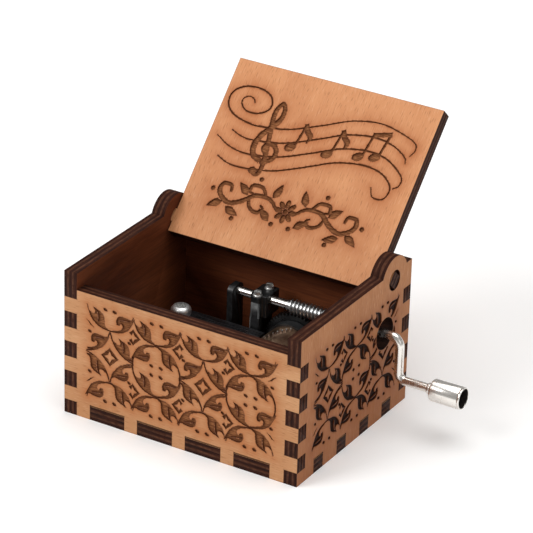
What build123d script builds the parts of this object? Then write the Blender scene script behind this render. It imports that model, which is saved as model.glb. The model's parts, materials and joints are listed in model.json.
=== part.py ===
from build123d import *
from math import cos, degrees, radians, sin, sqrt
import os

# Hand-cranked music box: a finger-jointed plywood box with a lid that turns on its own tabs,
# holding an 18-note movement that a bent wire crank drives through a worm and a worm wheel.
# Millimetres. X to the right, Y to the back, Z up, origin at the centre of the underside.

os.makedirs("parts", exist_ok=True)

# Box
WIDTH = 64.0
DEPTH = 51.0
PLY = 3.5
FRONT_TOP = 33.2
WALL_TOP = 37.4
INNER_WIDTH = WIDTH - 2 * PLY
INNER_DEPTH = DEPTH - 2 * PLY

# Finger joints: one finger and one notch make a pitch, and the first finger starts one ply up
FINGER = 3.9
FINGER_PITCH = 2 * FINGER
FINGER_COUNT = 4
FINGER_MIDDLE = PLY + FINGER / 2 + (FINGER_COUNT - 1) * FINGER_PITCH / 2
CUT_GAP = 0.08

# Floor panel tabs and the notches that take them
TAB_COUNT = 4
FRONT_TAB = 9.6
FRONT_TAB_PITCH = 13.25
SIDE_TAB = 4.1
SIDE_TAB_PITCH = 10.6
TAB_NOTCH_HEIGHT = 3.85

# Lid and its pivot
PIVOT_Y = 17.3
PIVOT_Z = FRONT_TOP + PLY / 2 + 0.1
PIVOT_HOLE = 2.55
EAR_RADIUS = 6.1
LID_WIDTH = INNER_WIDTH - 0.5
LID_FRONT = 42.5
LID_REAR = 4.2
LID_LEAN = 43.2
LID_TAB = 3.4

# Crank shaft, worm and worm wheel
CRANK_Y = 13.6
CRANK_Z = 22.6
WIRE = 1.1
CRANK_HOLE = 4.0
WORM_PITCH = 1.0
WORM_ROOT = 1.25
WORM_PITCH_RADIUS = 1.6
WORM_OUTER = 1.95
WORM_START = 6.6
WORM_END = 18.6
WORM_HUB = 1.0
WHEEL_TEETH = 51
WHEEL_PITCH_RADIUS = WHEEL_TEETH * WORM_PITCH / radians(360)
WHEEL_OUTER = WHEEL_PITCH_RADIUS + 0.3
WHEEL_ROOT = WHEEL_PITCH_RADIUS - 0.4
WHEEL_WIDTH = 2.4
TOOTH_HALF = 0.21
FLANK = 0.364

# Crank handle
ARM_X = 36.2
THROW = 10.8
HANDLE_Z = CRANK_Z - THROW
SHAFT_BEND = 2.4
HANDLE_BEND = 1.8
WIRE_START = -9.1
WIRE_END = 51.0
COLLAR_START = 44.1
COLLAR_LENGTH = 1.2
COLLAR_RADIUS = 1.45
KNOB_START = 45.5
KNOB_END = 53.6
KNOB_RADIUS = 2.75
KNOB_HUB = 5.4
KNOB_WALL = 0.35
RETAINER_RADIUS = 1.55
RETAINER_LENGTH = 0.6

# Drum
DRUM_X = 8.4
DRUM_Z = CRANK_Z - WORM_PITCH_RADIUS - WHEEL_PITCH_RADIUS
DRUM_RADIUS = 6.2
DRUM_BORE = 5.75
DRUM_FRONT = -11.5
DRUM_REAR = 9.6
FLANGE_RADIUS = 6.65
ARBOR = 1.0
RUNNING = 0.05
PIN_TIP = 6.8
PIN_RADIUS = 0.2
PINS_PER_NOTE = 6
DRUM_BOSS = 4.5

# Comb
NOTES = 18
NOTE_PITCH = 1.07
NOTE_MIDDLE = -0.45
COMB_TOP = 16.0
COMB_HEEL = 1.6
COMB_LEFT = -23.2
TOOTH_ROOT = -17.0
TIP_THICKNESS = 0.45
TIP_CLEARANCE = 0.12
TIP_DROP = COMB_TOP - TIP_THICKNESS - DRUM_Z
COMB_TIP = DRUM_X - sqrt((PIN_TIP + TIP_CLEARANCE) ** 2 - TIP_DROP**2)
SLIT = 0.22

# Bed casting
BED_TOP = PLY + 2.0
BED_LEFT = -23.9
BED_RIGHT = 15.5
BED_FRONT = -19.3
BED_REAR = 18.0
UPRIGHT_FRONT = 15.8
UPRIGHT_THICKNESS = 1.7
EAR_X = 17.5
EAR_LENGTH = 8.0
EAR_WIDTH = 6.0
EAR_THICKNESS = 3.5
WHEEL_SLOT = 10.0


def drum_plane(y):
    """A plane across the drum's axis whose local X and Y are the model's X and Z."""
    return Plane(origin=(DRUM_X, y, DRUM_Z), x_dir=(1, 0, 0), z_dir=(0, -1, 0))


def shaft_plane(x):
    """A plane across the crank shaft whose local X and Y are the model's Y and Z."""
    return Plane(origin=(x, CRANK_Y, CRANK_Z), x_dir=(0, 1, 0), z_dir=(1, 0, 0))


def handle_plane(x):
    """A plane across the crank's handle whose local X and Y are the model's Y and Z."""
    return Plane(origin=(x, CRANK_Y, HANDLE_Z), x_dir=(0, 1, 0), z_dir=(1, 0, 0))


# ---------------------------------------------------------------- box walls

with BuildPart() as front_wall:
    with BuildSketch(Plane.XZ.offset(DEPTH / 2)):
        with Locations((0, FRONT_TOP / 2)):
            Rectangle(INNER_WIDTH, FRONT_TOP)
        with Locations((0, FINGER_MIDDLE)):
            with GridLocations(1, FINGER_PITCH, 1, FINGER_COUNT):
                Rectangle(WIDTH, FINGER - CUT_GAP)
        with Locations((0, TAB_NOTCH_HEIGHT / 2)):
            with GridLocations(FRONT_TAB_PITCH, 1, TAB_COUNT, 1):
                Rectangle(FRONT_TAB + CUT_GAP, TAB_NOTCH_HEIGHT, mode=Mode.SUBTRACT)
    extrude(amount=-PLY)
front_wall.part.label = "front_wall"
export_step(front_wall.part, "parts/front_wall.step")

with BuildPart() as back_wall:
    with BuildSketch(Plane.XZ.offset(-DEPTH / 2)):
        with Locations((0, WALL_TOP / 2)):
            Rectangle(INNER_WIDTH, WALL_TOP)
        with Locations((0, FINGER_MIDDLE)):
            with GridLocations(1, FINGER_PITCH, 1, FINGER_COUNT):
                Rectangle(WIDTH, FINGER - CUT_GAP)
        with Locations((0, TAB_NOTCH_HEIGHT / 2)):
            with GridLocations(FRONT_TAB_PITCH, 1, TAB_COUNT, 1):
                Rectangle(FRONT_TAB + CUT_GAP, TAB_NOTCH_HEIGHT, mode=Mode.SUBTRACT)
    extrude(amount=PLY)
back_wall.part.label = "back_wall"
export_step(back_wall.part, "parts/back_wall.step")

# The side walls' outline: notches for the front and back walls' fingers, and the pivot ear
with BuildSketch() as side_outline:
    with Locations((0, WALL_TOP / 2)):
        Rectangle(DEPTH, WALL_TOP)
    with Locations((PIVOT_Y, PIVOT_Z)):
        Circle(EAR_RADIUS)
        Circle(PIVOT_HOLE, mode=Mode.SUBTRACT)
    with Locations((0, FINGER_MIDDLE)):
        with GridLocations(DEPTH - PLY, FINGER_PITCH, 2, FINGER_COUNT):
            Rectangle(PLY, FINGER, mode=Mode.SUBTRACT)
    with Locations((0, TAB_NOTCH_HEIGHT / 2)):
        with GridLocations(SIDE_TAB_PITCH, 1, TAB_COUNT, 1):
            Rectangle(SIDE_TAB + CUT_GAP, TAB_NOTCH_HEIGHT, mode=Mode.SUBTRACT)

with BuildPart() as left_wall:
    with BuildSketch(Plane.YZ.offset(-WIDTH / 2)):
        add(side_outline.sketch)
    extrude(amount=PLY)
left_wall.part.label = "left_wall"
export_step(left_wall.part, "parts/left_wall.step")

with BuildPart() as right_wall:
    with BuildSketch(Plane.YZ.offset(WIDTH / 2)):
        add(side_outline.sketch)
        with Locations((CRANK_Y, CRANK_Z)):
            Circle(CRANK_HOLE, mode=Mode.SUBTRACT)
    extrude(amount=-PLY)
right_wall.part.label = "right_wall"
export_step(right_wall.part, "parts/right_wall.step")

# ---------------------------------------------------------------- floor panel and its screws

SCREW_PLACES = [(-20.5, -0.5), (-2.2, 14.0), (EAR_X, -0.5)]
SCREW_LENGTH = 7.0
SCREW_SHANK = 1.1
SCREW_HEAD = 2.2
SCREW_RECESS = 0.3
CROSS_LENGTH = 2.4
CROSS_WIDTH = 0.5
CROSS_DEPTH = 0.7

with BuildPart() as bottom_panel:
    with BuildSketch():
        Rectangle(INNER_WIDTH, INNER_DEPTH)
        with GridLocations(FRONT_TAB_PITCH, 1, TAB_COUNT, 1):
            Rectangle(FRONT_TAB, DEPTH)
        with GridLocations(1, SIDE_TAB_PITCH, 1, TAB_COUNT):
            Rectangle(WIDTH, SIDE_TAB)
        with Locations(*SCREW_PLACES):
            Circle(SCREW_SHANK, mode=Mode.SUBTRACT)
    extrude(amount=PLY)
    with BuildSketch():
        with Locations(*SCREW_PLACES):
            Circle(SCREW_HEAD + SCREW_RECESS)
    extrude(amount=SCREW_HEAD - SCREW_SHANK + SCREW_RECESS, taper=45, mode=Mode.SUBTRACT)
bottom_panel.part.label = "bottom_panel"
export_step(bottom_panel.part, "parts/bottom_panel.step")

with BuildPart() as mounting_screws:
    with BuildSketch(Plane.XY.offset(SCREW_RECESS)):
        with Locations(*SCREW_PLACES):
            Circle(SCREW_HEAD)
    extrude(amount=SCREW_HEAD - SCREW_SHANK, taper=45)
    with BuildSketch(Plane.XY.offset(SCREW_RECESS + SCREW_HEAD - SCREW_SHANK)):
        with Locations(*SCREW_PLACES):
            Circle(SCREW_SHANK)
    extrude(amount=SCREW_LENGTH - SCREW_HEAD + SCREW_SHANK)
    with BuildSketch(Plane.XY.offset(SCREW_RECESS)):
        with Locations(*SCREW_PLACES):
            Rectangle(CROSS_LENGTH, CROSS_WIDTH)
            Rectangle(CROSS_WIDTH, CROSS_LENGTH)
    extrude(amount=CROSS_DEPTH, mode=Mode.SUBTRACT)
mounting_screws.part.label = "mounting_screws"
export_step(mounting_screws.part, "parts/mounting_screws.step")

# ---------------------------------------------------------------- lid, standing open on its stop

lean = radians(LID_LEAN)
lid_plane = Plane(
    origin=(0, PIVOT_Y, PIVOT_Z),
    x_dir=(1, 0, 0),
    z_dir=(0, -cos(lean), sin(lean)),
)
with BuildPart() as lid:
    with BuildSketch(lid_plane.offset(-PLY / 2)):
        with Locations((0, (LID_FRONT - LID_REAR) / 2)):
            Rectangle(LID_WIDTH, LID_FRONT + LID_REAR)
        Rectangle(WIDTH, LID_TAB)
    extrude(amount=PLY)
lid.part.label = "lid"
export_step(lid.part, "parts/lid.step")

# ---------------------------------------------------------------- bed casting

COMB_BLOCK_TOP = COMB_TOP - COMB_HEEL
COMB_SCREW_X = -20.0
COMB_SCREW_Y = NOTE_MIDDLE
COMB_SCREW_SPACING = 14.0
COMB_SCREW_SHANK = 1.25
COMB_SCREW_DEPTH = 5.0
COMB_BLOCK_X = -20.4
COMB_BLOCK_WIDTH = 6.6
COMB_BLOCK_LENGTH = 23.0

with BuildPart() as movement_bed:
    with BuildSketch(Plane.XY.offset(PLY)):
        with Locations(((BED_LEFT + BED_RIGHT) / 2, (BED_FRONT + BED_REAR) / 2)):
            RectangleRounded(BED_RIGHT - BED_LEFT, BED_REAR - BED_FRONT, 1.5)
    extrude(amount=BED_TOP - PLY)
    with BuildSketch(Plane.XY.offset(PLY)):
        with Locations((EAR_X - 0.5, SCREW_PLACES[2][1])):
            SlotOverall(EAR_LENGTH, EAR_WIDTH)
    extrude(amount=EAR_THICKNESS)
    with BuildSketch(Plane.XY.offset(BED_TOP)):
        with Locations((COMB_BLOCK_X, COMB_SCREW_Y)):
            RectangleRounded(COMB_BLOCK_WIDTH, COMB_BLOCK_LENGTH, 0.8)
    extrude(amount=COMB_BLOCK_TOP - BED_TOP)
    with BuildSketch(Plane.XY.offset(COMB_BLOCK_TOP)):
        with Locations((COMB_SCREW_X, COMB_SCREW_Y)):
            with GridLocations(1, COMB_SCREW_SPACING, 1, 2):
                Circle(COMB_SCREW_SHANK)
    extrude(amount=-COMB_SCREW_DEPTH, mode=Mode.SUBTRACT)
    with BuildSketch(drum_plane(UPRIGHT_FRONT)):
        with Locations((0, (BED_TOP - DRUM_Z) / 2)):
            Rectangle(2 * DRUM_BOSS, DRUM_Z - BED_TOP)
        Circle(DRUM_BOSS)
        Circle(ARBOR + RUNNING, mode=Mode.SUBTRACT)
    extrude(amount=-UPRIGHT_THICKNESS)
    with BuildSketch(Plane.XY.offset(PLY)):
        with Locations(*SCREW_PLACES):
            Circle(SCREW_SHANK)
    extrude(amount=SCREW_LENGTH + SCREW_RECESS - PLY, mode=Mode.SUBTRACT)
    with BuildSketch(Plane.XY.offset(PLY)):
        with Locations((DRUM_X, CRANK_Y)):
            Rectangle(WHEEL_SLOT, WHEEL_WIDTH + 0.8)
    extrude(amount=BED_TOP - PLY, mode=Mode.SUBTRACT)
movement_bed.part.label = "movement_bed"
export_step(movement_bed.part, "parts/movement_bed.step")

# ---------------------------------------------------------------- crank shaft bearings

BRACKET_LEFT = -9.7
BRACKET_RIGHT = -8.2
BRACKET_FRONT = 10.7
BRACKET_REAR = 15.8
BRACKET_TOP = 24.3
BRACKET_FOOT_RIGHT = -4.4
BRACKET_SCREW_X = -6.2
FOOT = 1.5
FOOT_SCREW_SHANK = 0.8

with BuildPart() as end_bracket:
    with BuildSketch(Plane.YZ.offset(BRACKET_LEFT)) as bracket_outline:
        with Locations(((BRACKET_FRONT + BRACKET_REAR) / 2, (BED_TOP + BRACKET_TOP) / 2)):
            Rectangle(BRACKET_REAR - BRACKET_FRONT, BRACKET_TOP - BED_TOP)
        fillet(bracket_outline.vertices().group_by(Axis.Z)[-1], 1.6)
        with Locations((CRANK_Y, CRANK_Z)):
            Circle(WIRE + RUNNING, mode=Mode.SUBTRACT)
    extrude(amount=BRACKET_RIGHT - BRACKET_LEFT)
    with BuildSketch(Plane.XY.offset(BED_TOP)):
        with Locations(((BRACKET_RIGHT + BRACKET_FOOT_RIGHT) / 2, (BRACKET_FRONT + BRACKET_REAR) / 2)):
            Rectangle(BRACKET_FOOT_RIGHT - BRACKET_RIGHT, BRACKET_REAR - BRACKET_FRONT)
        with Locations((BRACKET_SCREW_X, (BRACKET_FRONT + BRACKET_REAR) / 2)):
            Circle(FOOT_SCREW_SHANK, mode=Mode.SUBTRACT)
    extrude(amount=FOOT)
end_bracket.part.label = "end_bracket"
export_step(end_bracket.part, "parts/end_bracket.step")

BLOCK_LEFT = -3.5
BLOCK_RIGHT = 1.0
BLOCK_FRONT = 11.2
BLOCK_REAR = 17.5
COLUMN_RIGHT = -0.95
HEAD_BOTTOM = 18.6
POST_LEFT = -2.7
POST_RIGHT = -0.2
POST_FRONT = 9.9
CAP_TOP = 24.1
CAP_SCREWS = [(-1.45, 11.2), (-1.1, 16.1)]
CAP_SCREW_SHANK = 0.6
CAP_SCREW_DEPTH = 4.0
CAP_SCREW_HEAD = 0.9
CAP_SCREW_HEIGHT = 0.9
WASHER = 1.15
WASHER_THICKNESS = 0.2
SLOT_WIDTH = 0.3
SLOT_DEPTH = 0.4

# The block's outline seen from above, with the narrow post that stands out at its front
with BuildSketch() as block_outline:
    with Locations(((BLOCK_LEFT + BLOCK_RIGHT) / 2, (BLOCK_FRONT + BLOCK_REAR) / 2)):
        RectangleRounded(BLOCK_RIGHT - BLOCK_LEFT, BLOCK_REAR - BLOCK_FRONT, 0.5)
    with Locations(((POST_LEFT + POST_RIGHT) / 2, (POST_FRONT + BLOCK_FRONT + 1) / 2)):
        RectangleRounded(POST_RIGHT - POST_LEFT, BLOCK_FRONT + 1 - POST_FRONT, 0.4)

with BuildPart() as bearing_block:
    with BuildSketch(Plane.XY.offset(BED_TOP)):
        with Locations(((BLOCK_LEFT + COLUMN_RIGHT) / 2, (BLOCK_FRONT + BLOCK_REAR) / 2)):
            Rectangle(COLUMN_RIGHT - BLOCK_LEFT, BLOCK_REAR - BLOCK_FRONT)
        with Locations(((POST_LEFT + POST_RIGHT) / 2, (POST_FRONT + BLOCK_FRONT) / 2)):
            Rectangle(POST_RIGHT - POST_LEFT, BLOCK_FRONT - POST_FRONT)
    extrude(amount=HEAD_BOTTOM - BED_TOP)
    with BuildSketch(Plane.XY.offset(HEAD_BOTTOM)):
        add(block_outline.sketch)
    extrude(amount=CRANK_Z - HEAD_BOTTOM)
    with BuildSketch(shaft_plane(BLOCK_LEFT)):
        Circle(WIRE + RUNNING)
    extrude(amount=BLOCK_RIGHT - BLOCK_LEFT, mode=Mode.SUBTRACT)
    with BuildSketch(Plane.XY.offset(CRANK_Z)):
        with Locations(*CAP_SCREWS):
            Circle(CAP_SCREW_SHANK)
    extrude(amount=-CAP_SCREW_DEPTH, mode=Mode.SUBTRACT)
    with BuildSketch(Plane.XY.offset(BED_TOP)):
        with Locations(SCREW_PLACES[1]):
            Circle(SCREW_SHANK)
    extrude(amount=SCREW_LENGTH + SCREW_RECESS - BED_TOP, mode=Mode.SUBTRACT)
bearing_block.part.label = "bearing_block"
export_step(bearing_block.part, "parts/bearing_block.step")

with BuildPart() as bearing_cap:
    with BuildSketch(Plane.XY.offset(CRANK_Z)):
        add(block_outline.sketch)
        with Locations(*CAP_SCREWS):
            Circle(CAP_SCREW_SHANK, mode=Mode.SUBTRACT)
    extrude(amount=CAP_TOP - CRANK_Z)
    with BuildSketch(shaft_plane(BLOCK_LEFT)):
        Circle(WIRE + RUNNING)
    extrude(amount=BLOCK_RIGHT - BLOCK_LEFT, mode=Mode.SUBTRACT)
bearing_cap.part.label = "bearing_cap"
export_step(bearing_cap.part, "parts/bearing_cap.step")

with BuildPart() as bearing_screws:
    with BuildSketch(Plane.XY.offset(CRANK_Z - CAP_SCREW_DEPTH)):
        with Locations(*CAP_SCREWS):
            Circle(CAP_SCREW_SHANK)
    extrude(amount=CAP_TOP - CRANK_Z + CAP_SCREW_DEPTH)
    with BuildSketch(Plane.XY.offset(CAP_TOP)):
        with Locations(*CAP_SCREWS):
            Circle(WASHER)
    extrude(amount=WASHER_THICKNESS)
    with BuildSketch(Plane.XY.offset(CAP_TOP + WASHER_THICKNESS)):
        with Locations(*CAP_SCREWS):
            Circle(CAP_SCREW_HEAD)
    extrude(amount=CAP_SCREW_HEIGHT)
    with BuildSketch(Plane.XY.offset(CAP_TOP + WASHER_THICKNESS + CAP_SCREW_HEIGHT)):
        with Locations(*CAP_SCREWS):
            Rectangle(2 * WASHER, SLOT_WIDTH)
    extrude(amount=-SLOT_DEPTH, mode=Mode.SUBTRACT)
bearing_screws.part.label = "bearing_screws"
export_step(bearing_screws.part, "parts/bearing_screws.step")

# ---------------------------------------------------------------- drum's front bracket

FRONT_BRACKET = -13.4
FRONT_PLATE = 1.5
FRONT_FOOT = 3.8

with BuildPart() as drum_bracket:
    with BuildSketch(drum_plane(FRONT_BRACKET)):
        with Locations((0, (BED_TOP - DRUM_Z) / 2)):
            Rectangle(2 * DRUM_BOSS, DRUM_Z - BED_TOP)
        Circle(DRUM_BOSS)
        Circle(ARBOR + RUNNING, mode=Mode.SUBTRACT)
    extrude(amount=FRONT_PLATE)
    with BuildSketch(Plane.XY.offset(BED_TOP)):
        with Locations((DRUM_X, FRONT_BRACKET - FRONT_PLATE - FRONT_FOOT / 2)):
            Rectangle(2 * DRUM_BOSS, FRONT_FOOT)
            Circle(FOOT_SCREW_SHANK, mode=Mode.SUBTRACT)
    extrude(amount=FOOT)
drum_bracket.part.label = "drum_bracket"
export_step(drum_bracket.part, "parts/drum_bracket.step")

# One round-headed screw holds each bracket's foot
FOOT_SCREWS = [
    (BRACKET_SCREW_X, (BRACKET_FRONT + BRACKET_REAR) / 2),
    (DRUM_X, FRONT_BRACKET - FRONT_PLATE - FRONT_FOOT / 2),
]
FOOT_SCREW_HEAD = 1.5
FOOT_SCREW_HEIGHT = 0.9

with BuildPart() as bracket_screws:
    with BuildSketch(Plane.XY.offset(BED_TOP)):
        with Locations(*FOOT_SCREWS):
            Circle(FOOT_SCREW_SHANK)
    extrude(amount=FOOT)
    with BuildSketch(Plane.XY.offset(BED_TOP + FOOT)):
        with Locations(*FOOT_SCREWS):
            Circle(FOOT_SCREW_HEAD)
    extrude(amount=FOOT_SCREW_HEIGHT)
    fillet(bracket_screws.edges().group_by(Axis.Z)[-1], 0.4)
    with BuildSketch(Plane.XY.offset(BED_TOP + FOOT + FOOT_SCREW_HEIGHT)):
        with Locations(*FOOT_SCREWS):
            Rectangle(2 * FOOT_SCREW_HEAD, SLOT_WIDTH)
    extrude(amount=-SLOT_DEPTH, mode=Mode.SUBTRACT)
bracket_screws.part.label = "bracket_screws"
export_step(bracket_screws.part, "parts/bracket_screws.step")

# ---------------------------------------------------------------- comb, its screws and weights

COMB_SPAN = NOTES * NOTE_PITCH

with BuildPart() as comb:
    with BuildSketch(Plane.XZ.offset(COMB_SPAN / 2 - NOTE_MIDDLE)):
        with BuildLine():
            Polyline(
                (COMB_LEFT, COMB_TOP),
                (COMB_TIP, COMB_TOP),
                (COMB_TIP, COMB_TOP - TIP_THICKNESS),
                (TOOTH_ROOT + 3, COMB_TOP - 0.7),
                (TOOTH_ROOT, COMB_BLOCK_TOP),
                (COMB_LEFT, COMB_BLOCK_TOP),
                close=True,
            )
        make_face()
    extrude(amount=-COMB_SPAN)
    with BuildSketch(Plane.XY.offset(COMB_TOP)):
        with Locations(((TOOTH_ROOT + COMB_TIP) / 2 + 1, NOTE_MIDDLE)):
            with GridLocations(1, NOTE_PITCH, 1, NOTES - 1):
                Rectangle(COMB_TIP - TOOTH_ROOT, SLIT)
        with Locations((COMB_SCREW_X, COMB_SCREW_Y)):
            with GridLocations(1, COMB_SCREW_SPACING, 1, 2):
                Circle(COMB_SCREW_SHANK)
    extrude(amount=-COMB_HEEL, mode=Mode.SUBTRACT)
comb.part.label = "comb"
export_step(comb.part, "parts/comb.step")

COMB_SCREW_HEAD = 2.5
COMB_SCREW_HEIGHT = 2.1
COMB_CROSS_LENGTH = 2.8
COMB_CROSS_WIDTH = 0.6
COMB_CROSS_DEPTH = 1.0

with BuildPart() as comb_screws:
    with BuildSketch(Plane.XY.offset(COMB_BLOCK_TOP - COMB_SCREW_DEPTH)):
        with Locations((COMB_SCREW_X, COMB_SCREW_Y)):
            with GridLocations(1, COMB_SCREW_SPACING, 1, 2):
                Circle(COMB_SCREW_SHANK)
    extrude(amount=COMB_SCREW_DEPTH + COMB_HEEL)
    with BuildSketch(Plane.XY.offset(COMB_TOP)):
        with Locations((COMB_SCREW_X, COMB_SCREW_Y)):
            with GridLocations(1, COMB_SCREW_SPACING, 1, 2):
                Circle(COMB_SCREW_HEAD)
    extrude(amount=COMB_SCREW_HEIGHT)
    fillet(comb_screws.edges().group_by(Axis.Z)[-1], 1.2)
    with BuildSketch(Plane.XY.offset(COMB_TOP + COMB_SCREW_HEIGHT)):
        with Locations((COMB_SCREW_X, COMB_SCREW_Y)):
            with GridLocations(1, COMB_SCREW_SPACING, 1, 2):
                Rectangle(COMB_CROSS_LENGTH, COMB_CROSS_WIDTH)
                Rectangle(COMB_CROSS_WIDTH, COMB_CROSS_LENGTH)
    extrude(amount=-COMB_CROSS_DEPTH, mode=Mode.SUBTRACT)
comb_screws.part.label = "comb_screws"
export_step(comb_screws.part, "parts/comb_screws.step")

# Lead weights tune the longest teeth, so they hang only under the eight bass notes
BASS_NOTES = 8
WEIGHT_X = -2.4
WEIGHT_LENGTH = 1.8
WEIGHT_HEIGHT = 1.2
TEETH_UNDERSIDE = COMB_TOP - 0.6

with BuildPart() as comb_weights:
    with BuildSketch(Plane.XY.offset(TEETH_UNDERSIDE)):
        with Locations((WEIGHT_X, NOTE_MIDDLE - (NOTES - BASS_NOTES) * NOTE_PITCH / 2)):
            with GridLocations(1, NOTE_PITCH, 1, BASS_NOTES):
                Rectangle(WEIGHT_LENGTH, NOTE_PITCH - SLIT)
    extrude(amount=-WEIGHT_HEIGHT)
comb_weights.part.label = "comb_weights"
export_step(comb_weights.part, "parts/comb_weights.step")

# ---------------------------------------------------------------- drum

CAP_THICKNESS = 1.2
FLANGE_THICKNESS = 2.6
ARBOR_END = 0.4

with BuildPart() as drum_sleeve:
    with BuildSketch(drum_plane(DRUM_FRONT)):
        Circle(DRUM_RADIUS)
        Circle(DRUM_BORE, mode=Mode.SUBTRACT)
    extrude(amount=DRUM_FRONT - DRUM_REAR)
drum_sleeve.part.label = "drum_sleeve"
export_step(drum_sleeve.part, "parts/drum_sleeve.step")

# Pins stand in the ring of each note, at uneven spacings so that the notes sound in turn
PIN_ROOT = DRUM_RADIUS - 0.25
with BuildPart() as drum_pins:
    for note in range(NOTES):
        note_y = NOTE_MIDDLE + (note - (NOTES - 1) / 2) * NOTE_PITCH
        for beat in range(PINS_PER_NOTE):
            angle = radians(360 / PINS_PER_NOTE * beat + (note * 37 + beat * note * 11) % 53)
            outward = Vector(cos(angle), 0, sin(angle))
            root = Vector(DRUM_X, note_y, DRUM_Z) + outward * PIN_ROOT
            with BuildSketch(Plane(origin=root, z_dir=outward)):
                Circle(PIN_RADIUS)
    extrude(amount=PIN_TIP - PIN_ROOT)
drum_pins.part.label = "drum_pins"
export_step(drum_pins.part, "parts/drum_pins.step")

with BuildPart() as drum_front_cap:
    with BuildSketch(drum_plane(DRUM_FRONT)):
        Circle(DRUM_BORE)
        Circle(ARBOR, mode=Mode.SUBTRACT)
    extrude(amount=-CAP_THICKNESS)
drum_front_cap.part.label = "drum_front_cap"
export_step(drum_front_cap.part, "parts/drum_front_cap.step")

with BuildPart() as drum_rear_flange:
    with BuildSketch(drum_plane(DRUM_REAR)):
        Circle(DRUM_BORE)
        Circle(ARBOR, mode=Mode.SUBTRACT)
    extrude(amount=CAP_THICKNESS)
    with BuildSketch(drum_plane(DRUM_REAR)):
        Circle(FLANGE_RADIUS)
        Circle(ARBOR, mode=Mode.SUBTRACT)
    extrude(amount=-FLANGE_THICKNESS)
drum_rear_flange.part.label = "drum_rear_flange"
export_step(drum_rear_flange.part, "parts/drum_rear_flange.step")

with BuildPart() as drum_arbor:
    with BuildSketch(drum_plane(FRONT_BRACKET - FRONT_PLATE - ARBOR_END)):
        Circle(ARBOR)
    extrude(amount=FRONT_BRACKET - FRONT_PLATE - ARBOR_END - UPRIGHT_FRONT - UPRIGHT_THICKNESS)
drum_arbor.part.label = "drum_arbor"
export_step(drum_arbor.part, "parts/drum_arbor.step")

# ---------------------------------------------------------------- worm wheel

# Straight-flanked teeth follow the worm's lead, so the rear face is turned a little against the
# front one. A gap between two teeth stands at the top, where the worm's thread enters.
LEAD_TURN = degrees(WORM_PITCH / radians(360) / WORM_PITCH_RADIUS * WHEEL_WIDTH / WHEEL_PITCH_RADIUS)
WHEEL_HUB = 2.5


def wheel_corner(radius, tooth, side):
    """One corner of a tooth, at this radius, on its left (-1) or right (+1) flank."""
    half = TOOTH_HALF + FLANK * (WHEEL_PITCH_RADIUS - radius)
    angle = radians(90 - (tooth + 0.5) * 360 / WHEEL_TEETH) - side * half / radius
    return (radius * cos(angle), radius * sin(angle))


with BuildPart() as worm_wheel:
    for end in (-1, 1):
        face_plane = drum_plane(CRANK_Y + end * WHEEL_WIDTH / 2).rotated((0, 0, -end * LEAD_TURN / 2))
        with BuildSketch(face_plane):
            with BuildLine():
                Polyline(
                    *[
                        wheel_corner(radius, tooth, side)
                        for tooth in range(WHEEL_TEETH)
                        for radius, side in (
                            (WHEEL_ROOT, -1),
                            (WHEEL_OUTER, -1),
                            (WHEEL_OUTER, 1),
                            (WHEEL_ROOT, 1),
                        )
                    ],
                    close=True,
                )
            make_face()
    loft(ruled=True)
    with BuildSketch(drum_plane(DRUM_REAR + FLANGE_THICKNESS)):
        Circle(WHEEL_HUB)
    extrude(amount=DRUM_REAR + FLANGE_THICKNESS - UPRIGHT_FRONT + 0.2)
    with BuildSketch(drum_plane(DRUM_REAR)):
        Circle(ARBOR)
    extrude(amount=DRUM_REAR - UPRIGHT_FRONT, mode=Mode.SUBTRACT)
worm_wheel.part.label = "worm_wheel"
export_step(worm_wheel.part, "parts/worm_wheel.step")

# ---------------------------------------------------------------- worm

# The thread starts straight above the shaft, half a turn from where it crosses the wheel's own X
THREAD_TURNS = int((WORM_END - WORM_START) / WORM_PITCH) - 1
THREAD_START = DRUM_X - WORM_PITCH / 2 - int(DRUM_X - WORM_PITCH / 2 - WORM_START)
thread_root = TOOTH_HALF + FLANK * (WORM_PITCH_RADIUS - WORM_ROOT + 0.1)
thread_tip = TOOTH_HALF - FLANK * (WORM_OUTER - WORM_PITCH_RADIUS)

with BuildPart() as worm:
    with BuildSketch(shaft_plane(WORM_START - WORM_HUB)):
        Circle(WORM_ROOT)
    extrude(amount=WORM_END - WORM_START + WORM_HUB)
    with BuildLine() as thread_path:
        Helix(
            WORM_PITCH,
            THREAD_TURNS * WORM_PITCH,
            WORM_PITCH_RADIUS,
            center=(THREAD_START, CRANK_Y, CRANK_Z),
            direction=(1, 0, 0),
        )
    start_point = thread_path.line @ 0
    radial = (start_point - Vector(THREAD_START, CRANK_Y, CRANK_Z)).normalized()
    with BuildSketch(Plane(origin=start_point, x_dir=radial, z_dir=thread_path.line % 0)):
        with BuildLine():
            Polyline(
                (WORM_ROOT - WORM_PITCH_RADIUS - 0.1, -thread_root),
                (WORM_OUTER - WORM_PITCH_RADIUS, -thread_tip),
                (WORM_OUTER - WORM_PITCH_RADIUS, thread_tip),
                (WORM_ROOT - WORM_PITCH_RADIUS - 0.1, thread_root),
                close=True,
            )
        make_face()
    sweep(path=thread_path.line, is_frenet=True)
    with BuildSketch(shaft_plane(WORM_START - WORM_HUB)):
        Circle(WIRE)
    extrude(amount=WORM_END - WORM_START + WORM_HUB, mode=Mode.SUBTRACT)
worm.part.label = "worm"
export_step(worm.part, "parts/worm.step")

# ---------------------------------------------------------------- crank and knob

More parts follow.
